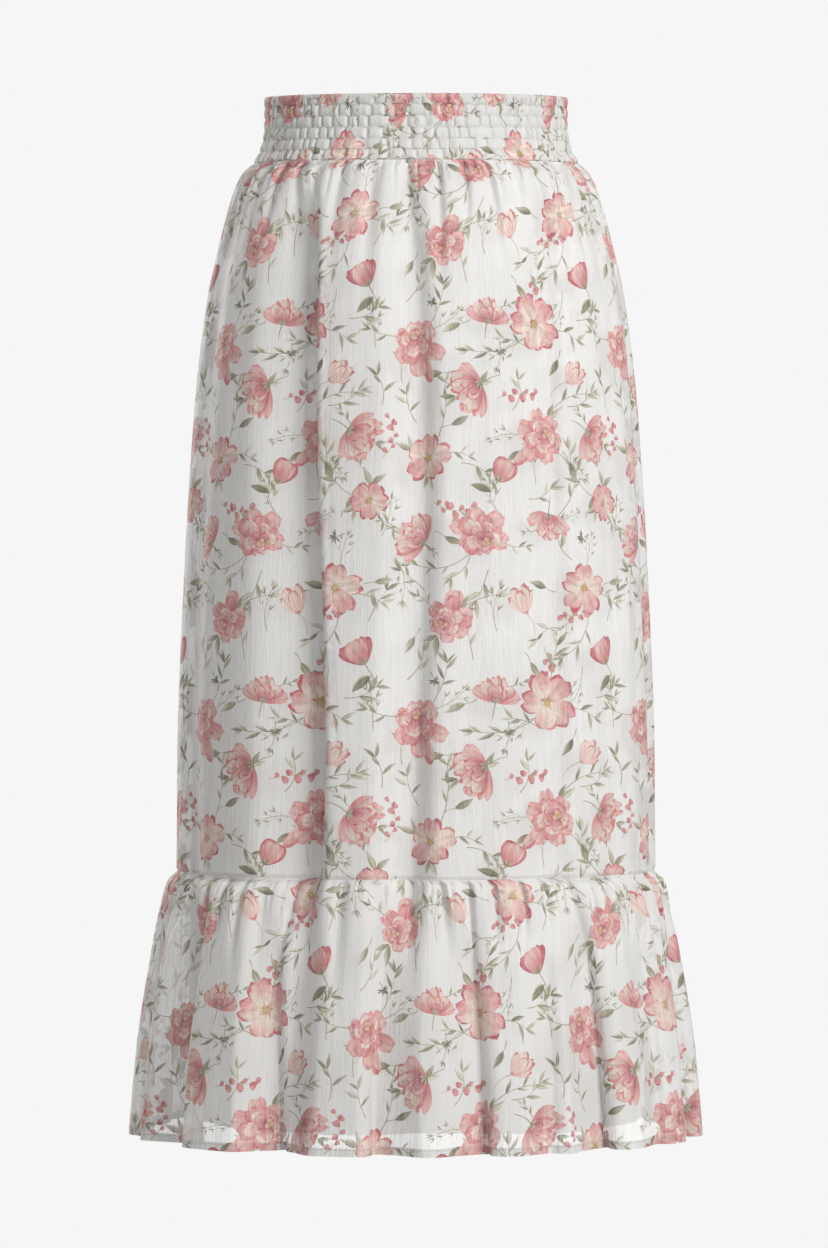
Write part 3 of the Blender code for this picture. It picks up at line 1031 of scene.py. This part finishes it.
def crinkle_chiffon(name, opacity, ground):
    """Polyester crinkle chiffon, heat-set into fine lengthwise crinkles and printed.

    It is matt and see-through, and its crinkles show as short pale and grey streaks: bumps,
    with painted highlight and painted shade in its colour.
    """
    material, tree = new_material(name)
    multiply = {"operation": "MULTIPLY"}
    subtract = {"operation": "SUBTRACT"}
    multiply_add = {"operation": "MULTIPLY_ADD"}
    soft_step = {"interpolation_type": "SMOOTHSTEP"}
    mix = {"data_type": "RGBA"}
    darken = {"data_type": "RGBA", "blend_type": "MULTIPLY"}
    cloth = add_node(tree, "ShaderNodeUVMap", {"uv_map": "cloth"}).outputs["UV"]
    petal = add_node(tree, "ShaderNodeAttribute", {"attribute_name": "petal"}).outputs["Vector"]
    root = add_node(tree, "ShaderNodeAttribute", {"attribute_name": "ink_root"}).outputs["Color"]
    tip = add_node(tree, "ShaderNodeAttribute", {"attribute_name": "ink_tip"}).outputs["Color"]
    rim = add_node(tree, "ShaderNodeAttribute", {"attribute_name": "ink_edge"}).outputs["Color"]

    # Crinkles are hairlines about 3 mm apart and 40 mm long.
    streak_at = add_node(tree, "ShaderNodeMapping", None, Vector=cloth, Scale=(430.0, 13.0, 1.0))
    streak = add_node(
        tree, "ShaderNodeTexNoise", None,
        Vector=streak_at.outputs[0], Scale=1.0, Detail=2.0, Roughness=0.55,
    ).outputs["Fac"]
    off = add_node(tree, "ShaderNodeMath", subtract, i0=streak, i1=0.5).outputs[0]
    off = add_node(tree, "ShaderNodeMath", {"operation": "ABSOLUTE"}, i0=off).outputs[0]
    crinkle = add_node(
        tree, "ShaderNodeMapRange", soft_step, Value=off, i1=0.0, i2=0.085,
    ).outputs[0]
    # Yarns are 0.25 mm apart, drawn here at 0.6 mm.
    weave = add_node(
        tree, "ShaderNodeTexNoise", None, Vector=cloth, Scale=1700.0, Detail=1.0,
    ).outputs["Fac"]
    # Pools of watercolour are about 6 mm across.
    pools = add_node(
        tree, "ShaderNodeTexNoise", None, Vector=cloth, Scale=170.0, Detail=4.0, Roughness=0.65,
    ).outputs["Fac"]

    split = add_node(tree, "ShaderNodeSeparateXYZ", None, Vector=petal).outputs
    across, along, kind_and_side = split["X"], split["Y"], split["Z"]
    kind = add_node(tree, "ShaderNodeMath", {"operation": "ROUND"}, i0=kind_and_side).outputs[0]
    wet_side = add_node(tree, "ShaderNodeMath", subtract, i0=kind_and_side, i1=kind).outputs[0]
    paint = add_node(tree, "ShaderNodeMath", {"operation": "MINIMUM"}, i0=kind, i1=1.0).outputs[0]
    veins_at = add_node(tree, "ShaderNodeCombineXYZ", None, X=across, Y=along, Z=kind)
    veins_at = add_node(
        tree, "ShaderNodeMapping", None, Vector=veins_at.outputs[0], Scale=(5.0, 0.8, 1.0),
    )
    veins_at = add_node(
        tree, "ShaderNodeVectorMath", {"operation": "ADD"}, i0=veins_at.outputs[0], i1=cloth,
    )
    veins = add_node(
        tree, "ShaderNodeTexNoise", None,
        Vector=veins_at.outputs[0], Scale=1.6, Detail=3.0, Roughness=0.6,
    ).outputs["Fac"]
    sideways = add_node(tree, "ShaderNodeMath", multiply, i0=wet_side, i1=across).outputs[0]
    stirred = add_node(
        tree, "ShaderNodeMath", multiply_add, i0=pools, i1=0.9, i2=along,
    ).outputs[0]
    stirred = add_node(
        tree, "ShaderNodeMath", multiply_add, i0=sideways, i1=0.9, i2=stirred,
    ).outputs[0]
    toward_tip = add_node(
        tree, "ShaderNodeMapRange", soft_step, Value=stirred, i1=0.55, i2=1.45,
    ).outputs[0]
    ink = add_node(tree, "ShaderNodeMix", mix, i0=toward_tip, i6=root, i7=tip).outputs[2]
    # The edge of a petal is where an oval round its middle ends, and paint dries darkest there.
    up_oval = add_node(tree, "ShaderNodeMath", subtract, i0=along, i1=0.5).outputs[0]
    up_oval = add_node(tree, "ShaderNodeMath", multiply, i0=up_oval, i1=2.0).outputs[0]
    oval = add_node(tree, "ShaderNodeCombineXYZ", None, X=across, Y=up_oval)
    oval = add_node(
        tree, "ShaderNodeVectorMath", {"operation": "LENGTH"}, i0=oval.outputs[0],
    ).outputs["Value"]
    oval = add_node(tree, "ShaderNodeMath", multiply_add, i0=pools, i1=0.5, i2=oval).outputs[0]
    edge = add_node(
        tree, "ShaderNodeMapRange", soft_step, Value=oval, i1=1.0, i2=1.18,
    ).outputs[0]
    ink = add_node(tree, "ShaderNodeMix", mix, i0=edge, i6=ink, i7=rim).outputs[2]
    # One half of a leaf is darker than the other, and its midrib is a thin line.
    leafy = add_node(tree, "ShaderNodeMath", subtract, i0=kind, i1=paint).outputs[0]
    half = add_node(
        tree, "ShaderNodeMapRange", None, Value=across, i1=-0.08, i2=0.08, i3=1.0, i4=0.72,
    ).outputs[0]
    half = add_node(
        tree, "ShaderNodeMix", {"data_type": "FLOAT"}, i0=leafy, i2=1.0, i3=half,
    ).outputs[0]
    vein_shade = add_node(
        tree, "ShaderNodeMapRange", None, Value=veins, i1=0.3, i2=0.7, i3=0.66, i4=1.16,
    ).outputs[0]
    shade = add_node(tree, "ShaderNodeMath", multiply, i0=half, i1=vein_shade).outputs[0]
    ink = add_node(tree, "ShaderNodeMix", darken, i0=1.0, i6=ink, i7=shade).outputs[2]
    wet = add_node(
        tree, "ShaderNodeMapRange", None, Value=pools, i1=0.3, i2=0.7, i3=0.8, i4=1.0,
    ).outputs[0]
    strength = add_node(tree, "ShaderNodeMath", multiply, i0=paint, i1=wet).outputs[0]
    base = add_node(
        tree, "ShaderNodeMix", mix, i0=strength, i6=tuple(ground), i7=ink,
    ).outputs[2]
    # Painted shade along the crinkles' hairlines, and painted highlight on the cloth between them.
    crinkle_painted_light = add_node(
        tree, "ShaderNodeMapRange", None, Value=crinkle, i3=0.87, i4=1.04,
    ).outputs[0]
    base = add_node(tree, "ShaderNodeMix", darken, i0=1.0, i6=base, i7=crinkle_painted_light).outputs[2]

    bump = add_node(
        tree, "ShaderNodeBump", None, Strength=0.35, Distance=0.0005, Height=crinkle,
    )
    bump = add_node(
        tree, "ShaderNodeBump", None,
        Strength=0.25, Distance=0.0002, Height=weave, Normal=bump.outputs[0],
    )
    shader = add_node(
        tree, "ShaderNodeBsdfPrincipled", None,
        Base_Color=base, Roughness=0.75, IOR=1.5, Specular_IOR_Level=0.25, Normal=bump.outputs[0],
    )
    clear = add_node(tree, "ShaderNodeBsdfTransparent", None)
    cover = add_node(
        tree, "ShaderNodeMapRange", None, Value=crinkle, i3=opacity + 0.1, i4=opacity - 0.02,
    ).outputs[0]
    cover = add_node(
        tree, "ShaderNodeMath", {"operation": "MULTIPLY_ADD", "use_clamp": True},
        i0=paint, i1=0.26, i2=cover,
    ).outputs[0]
    both = add_node(
        tree, "ShaderNodeMixShader", None, i0=cover, i1=clear.outputs[0], i2=shader.outputs[0],
    )
    add_node(tree, "ShaderNodeOutputMaterial", None, Surface=both.outputs[0])
    return material


def sewing_thread(name):
    """Spun polyester sewing thread, plied and matt, so that each stitch is faintly barred."""
    material, tree = new_material(name)
    place = add_node(tree, "ShaderNodeTexCoord", None).outputs["Object"]
    # Plies are 0.4 mm apart.
    plies = add_node(
        tree, "ShaderNodeTexNoise", None, Vector=place, Scale=2500.0, Detail=1.0,
    ).outputs["Fac"]
    shade = add_node(
        tree, "ShaderNodeMapRange", None, Value=plies, i1=0.3, i2=0.7, i3=0.85, i4=1.05,
    ).outputs[0]
    tint = tuple(bpy.context.scene.skirt_colours.thread)
    base = add_node(
        tree, "ShaderNodeMix", {"data_type": "RGBA", "blend_type": "MULTIPLY"},
        i0=1.0, i6=tint, i7=shade,
    ).outputs[2]
    bump = add_node(tree, "ShaderNodeBump", None, Strength=0.3, Distance=0.0001, Height=plies)
    shader = add_node(
        tree, "ShaderNodeBsdfPrincipled", None,
        Base_Color=base, Roughness=0.8, Normal=bump.outputs[0],
    )
    add_node(tree, "ShaderNodeOutputMaterial", None, Surface=shader.outputs[0])
    return material


def lining_satin(name):
    """Plain-woven polyester lining, smooth and soft, which gives a faint even sheen."""
    material, tree = new_material(name)
    tint = tuple(bpy.context.scene.skirt_colours.lining)
    cloth = add_node(tree, "ShaderNodeTexCoord", None).outputs["Object"]
    # Threads are 0.2 mm apart, drawn here at 0.7 mm.
    weave = add_node(
        tree, "ShaderNodeTexNoise", None, Vector=cloth, Scale=1400.0, Detail=2.0,
    ).outputs["Fac"]
    shade = add_node(
        tree, "ShaderNodeMapRange", None, Value=weave, i1=0.3, i2=0.7, i3=0.97, i4=1.02,
    ).outputs[0]
    base = add_node(
        tree, "ShaderNodeMix", {"data_type": "RGBA", "blend_type": "MULTIPLY"},
        i0=1.0, i6=tint, i7=shade,
    ).outputs[2]
    bump = add_node(tree, "ShaderNodeBump", None, Strength=0.2, Distance=0.0002, Height=weave)
    shader = add_node(
        tree, "ShaderNodeBsdfPrincipled", None,
        Base_Color=base, Roughness=0.55, Specular_IOR_Level=0.3, Normal=bump.outputs[0],
    )
    add_node(tree, "ShaderNodeOutputMaterial", None, Surface=shader.outputs[0])
    return material


def ride_as(piece, node, rests_on=(), sewn=()):
    """Puts a finished sheet of cloth and what is sewn to it on the skirt, and hides the solid it
    replaces.
    """
    for each in (piece, *sewn):
        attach(each, "root")
    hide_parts(node)
    list(rests_on)
    list(sewn)


def make_printed_half(
    stem, half, surface, top, bottom, grid, offset, shapes, material, fullness=1.0,
):
    """The front or back of one printed piece, its flat width and its way onto the skirt.

    The grid is the spacing of the mesh across and up, and the offset moves the print.
    """
    width, place = flat_cloth_map(surface, half == "back", top, bottom, fullness)
    printed = cut_printed_cloth(width, top, bottom, *grid, offset, shapes)
    piece = add_printed_mesh(f"{stem}_{half}_cloth", place, *printed, material)
    return piece, width, place


class SKIRT_OT_waistband(bpy.types.Operator):
    """Makes the shirred waistband, folded over at its top, and its rows of stitches"""

    bl_idname = "skirt.waistband"
    bl_label = "Waistband"

    def execute(self, context):
        cut = context.scene.skirt_cut
        height = cut.band_height / MM
        # The inner layer ends a little above the seam, so that it doesn't show below it.
        inner_end = 3.0 - height
        # The band's ground is the greyer shirred colour, which is painted shade.
        ground = context.scene.skirt_colours.shirred
        chiffon = crinkle_chiffon("shirred crinkle chiffon", opacity=0.96, ground=ground)
        thread = sewing_thread("spun polyester thread")
        offsets = {"front": (12.0, 30.0), "back": (95.0, 110.0)}
        grid = (1.65, 1.25)
        fullness = 1.48
        shapes = paint_repeat()
        for half, offset in offsets.items():
            piece, width, place = make_printed_half(
                "waistband", half, band_surface, inner_end, height,
                grid, offset, shapes, chiffon, fullness,
            )
            bm = bmesh.new()
            for row in range(1, cut.shirred_rows):
                line = height * row / cut.shirred_rows
                sew_stitches(bm, width, line, length=4.0, gap=1.8, girth=0.45, height=0.2)
            rows = lay_on_cloth(bm, place, f"waistband_{half}_stitches", thread)
            ride_as(piece, f"waistband_{half}", (), [rows])
        return {"FINISHED"}


class SKIRT_OT_upper_tier(bpy.types.Operator):
    """Makes the upper tier, gathered into the waistband"""

    bl_idname = "skirt.upper_tier"
    bl_label = "Upper tier"

    def execute(self, context):
        cut = context.scene.skirt_cut
        ground = context.scene.skirt_colours.cloth
        chiffon = crinkle_chiffon("printed crinkle chiffon", opacity=0.62, ground=ground)
        offsets = {"front": (40.0, -20.0), "back": (150.0, 60.0)}
        grid = (2.7, 6.5)
        top, bottom = cut.band_height / MM + SEAM_GAP, cut.flounce_seam / MM
        shapes = paint_repeat()
        for half, offset in offsets.items():
            piece, width, _ = make_printed_half(
                "skirt", half, tier_surface, top, bottom, grid, offset, shapes, chiffon,
            )
            rests_on = [f"waistband_{half}"]
            ride_as(piece, f"skirt_{half}", rests_on)
        return {"FINISHED"}


class SKIRT_OT_flounce(bpy.types.Operator):
    """Makes the flounce, gathered onto the upper tier, and its turned and stitched hem"""

    bl_idname = "skirt.flounce"
    bl_label = "Flounce"

    def execute(self, context):
        cut = context.scene.skirt_cut
        # The turned-up hem takes the greyer shirred ground too, with its painted shade.
        ground = context.scene.skirt_colours.shirred
        chiffon = bpy.data.materials["printed crinkle chiffon"]
        doubled = crinkle_chiffon("doubled crinkle chiffon", opacity=0.85, ground=ground)
        thread = bpy.data.materials["spun polyester thread"]
        offsets = {"front": (70.0, 40.0), "back": (10.0, 90.0)}
        grid = (2.4, 4.5)
        top, bottom = cut.flounce_seam / MM + SEAM_GAP, cut.hem / MM
        turning = cut.hem_turn / MM
        line = bottom - turning + 1.0
        shapes = paint_repeat()
        for half, offset in offsets.items():
            piece, width, place = make_printed_half(
                "flounce", half, flounce_surface, top, bottom, grid, offset, shapes, chiffon,
            )
            bm = bmesh.new()
            turn_up_hem(bm, width, bottom, turning)
            hem = lay_on_cloth(bm, place, f"flounce_{half}_hem", doubled)
            bm = bmesh.new()
            sew_stitches(bm, width, line, length=2.2, gap=1.2, girth=0.4, height=0.12)
            row = lay_on_cloth(bm, place, f"flounce_{half}_stitches", thread)
            rests_on, sewn = [f"skirt_{half}"], [hem, row]
            ride_as(piece, f"flounce_{half}", rests_on, sewn)
        return {"FINISHED"}


class SKIRT_OT_lining(bpy.types.Operator):
    """Makes the plain lining that hangs inside, and its hem"""

    bl_idname = "skirt.lining"
    bl_label = "Lining"

    def execute(self, context):
        cut = context.scene.skirt_cut
        satin = lining_satin("plain polyester lining")
        thread = bpy.data.materials["spun polyester thread"]
        top, bottom = cut.band_height / MM + 2 * SEAM_GAP, cut.lining_hem / MM
        columns, rows = 90, 80
        turning = 12.0
        line = bottom - turning + 1.5
        for half in ("front", "back"):
            width, place = flat_cloth_map(lining_surface, half == "back", top, bottom)
            bm = bmesh.new()
            sheet = bmesh.ops.create_grid(bm, x_segments=columns, y_segments=rows, size=0.5)
            sheet = sheet["verts"]
            bmesh.ops.translate(bm, verts=sheet, vec=(0.5, -0.5, 0))
            bmesh.ops.scale(bm, verts=sheet, vec=(width, bottom - top, 1))
            bmesh.ops.translate(bm, verts=sheet, vec=(0, -top, 0))
            piece = lay_on_cloth(bm, place, f"lining_{half}_cloth", satin)
            bm = bmesh.new()
            turn_up_hem(bm, width, bottom, turning)
            hem = lay_on_cloth(bm, place, f"lining_{half}_hem", satin)
            bm = bmesh.new()
            sew_stitches(bm, width, line, length=2.4, gap=1.2, girth=0.4, height=0.12)
            row = lay_on_cloth(bm, place, f"lining_{half}_stitches", thread)
            rests_on, sewn = [f"waistband_{half}"], [hem, row]
            ride_as(piece, f"lining_{half}", rests_on, sewn)
        return {"FINISHED"}


class SKIRT_OT_stage(bpy.types.Operator):
    """Makes the floor, the lights and the camera"""

    bl_idname = "skirt.stage"
    bl_label = "Stage"

    def execute(self, context):
        scene = context.scene
        white = linear("#f6f6f6")
        bm = bmesh.new()
        bmesh.ops.create_circle(bm, cap_ends=True, segments=96, radius=14.0)
        bmesh.ops.translate(bm, verts=bm.verts, vec=(0, 0, -1.06))
        mesh = bpy.data.meshes.new("studio_floor")
        bm.to_mesh(mesh)
        bm.free()
        material, tree = new_material("lit white studio floor")
        seen = add_node(tree, "ShaderNodeLightPath").outputs["Is Camera Ray"]
        power = add_node(tree, "ShaderNodeMapRange", None, Value=seen, i3=0.3, i4=1.0).outputs[0]
        glow = add_node(tree, "ShaderNodeEmission", None, Color=white, Strength=power)
        add_node(tree, "ShaderNodeOutputMaterial", None, Surface=glow.outputs[0])
        mesh.materials.append(material)
        floor = bpy.data.objects.new("studio_floor", mesh)
        scene.collection.objects.link(floor)
        floor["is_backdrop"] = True

        world = bpy.data.worlds.new("studio")
        world.use_nodes = True
        tree = world.node_tree
        tree.nodes.clear()
        path = add_node(tree, "ShaderNodeLightPath").outputs["Is Camera Ray"]
        seen = add_node(tree, "ShaderNodeBackground", None, Color=white, Strength=1.0)
        soft = add_node(tree, "ShaderNodeBackground", None, Color=white, Strength=0.48)
        both = add_node(
            tree, "ShaderNodeMixShader", None, i0=path, i1=soft.outputs[0], i2=seen.outputs[0],
        )
        add_node(tree, "ShaderNodeOutputWorld", None, Surface=both.outputs[0])
        scene.world = world

        middle = Vector((0, 0, -0.4))
        for name, place, size, power in (
            ("key", (2.15, -2.75, 0.9), 1.3, 114.0),
            ("fill", (-2.4, -2.6, -0.2), 2.0, 13.0),
            ("back key", (-2.3, 2.9, 0.7), 1.8, 95.0),
        ):
            light = bpy.data.lights.new(name, "AREA")
            light.shape = "SQUARE"
            light.size = size
            light.energy = power
            lamp = bpy.data.objects.new(name, light)
            lamp.location = place
            aim = middle - Vector(place)
            lamp.rotation_euler = aim.to_track_quat("-Z", "Y").to_euler()
            scene.collection.objects.link(lamp)

        camera = bpy.data.cameras.new("camera")
        camera.sensor_width = 36.0
        camera.lens = 124.64
        camera.clip_end = 60.0
        view = bpy.data.objects.new("camera", camera)
        view.location = (-0.0016, -3.5, -0.3995)
        view.rotation_euler = (math.radians(90), 0, 0)
        scene.collection.objects.link(view)
        scene.camera = view
        scene.view_settings.view_transform = "Standard"
        return {"FINISHED"}


class SKIRT_PT_panel(bpy.types.Panel):
    """Lists the skirt's sizes, colours and pieces in the sidebar"""

    bl_label = "Midi skirt"
    bl_idname = "SKIRT_PT_panel"
    bl_space_type = "VIEW_3D"
    bl_region_type = "UI"
    bl_category = "Skirt"

    def draw(self, context):
        layout = self.layout
        scene = context.scene
        for group in (scene.skirt_cut, scene.skirt_print, scene.skirt_colours):
            for key in type(group).__annotations__:
                layout.prop(group, key)
        for piece in PIECES:
            layout.operator(piece.bl_idname)


PIECES = (
    SKIRT_OT_waistband,
    SKIRT_OT_upper_tier,
    SKIRT_OT_flounce,
    SKIRT_OT_lining,
    SKIRT_OT_stage,
)
CLASSES = (SkirtCut, SkirtPrint, SkirtColours, *PIECES, SKIRT_PT_panel)


def register():
    """Adds the sizes, the colours, the pieces and the panel to Blender."""
    for cls in CLASSES:
        bpy.utils.register_class(cls)
    bpy.types.Scene.skirt_cut = PointerProperty(type=SkirtCut)
    bpy.types.Scene.skirt_print = PointerProperty(type=SkirtPrint)
    bpy.types.Scene.skirt_colours = PointerProperty(type=SkirtColours)


def unregister():
    """Takes out what register added."""
    del bpy.types.Scene.skirt_colours
    del bpy.types.Scene.skirt_print
    del bpy.types.Scene.skirt_cut
    for cls in reversed(CLASSES):
        bpy.utils.unregister_class(cls)


def main():
    """Makes the skirt and its stage."""
    register()
    bpy.ops.skirt.waistband()
    bpy.ops.skirt.upper_tier()
    bpy.ops.skirt.flounce()
    bpy.ops.skirt.lining()
    bpy.ops.skirt.stage()
    boxes = [[list(corner) for corner in box] for box in (CAD_BOX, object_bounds())]


if __name__ == "__main__":
    main()
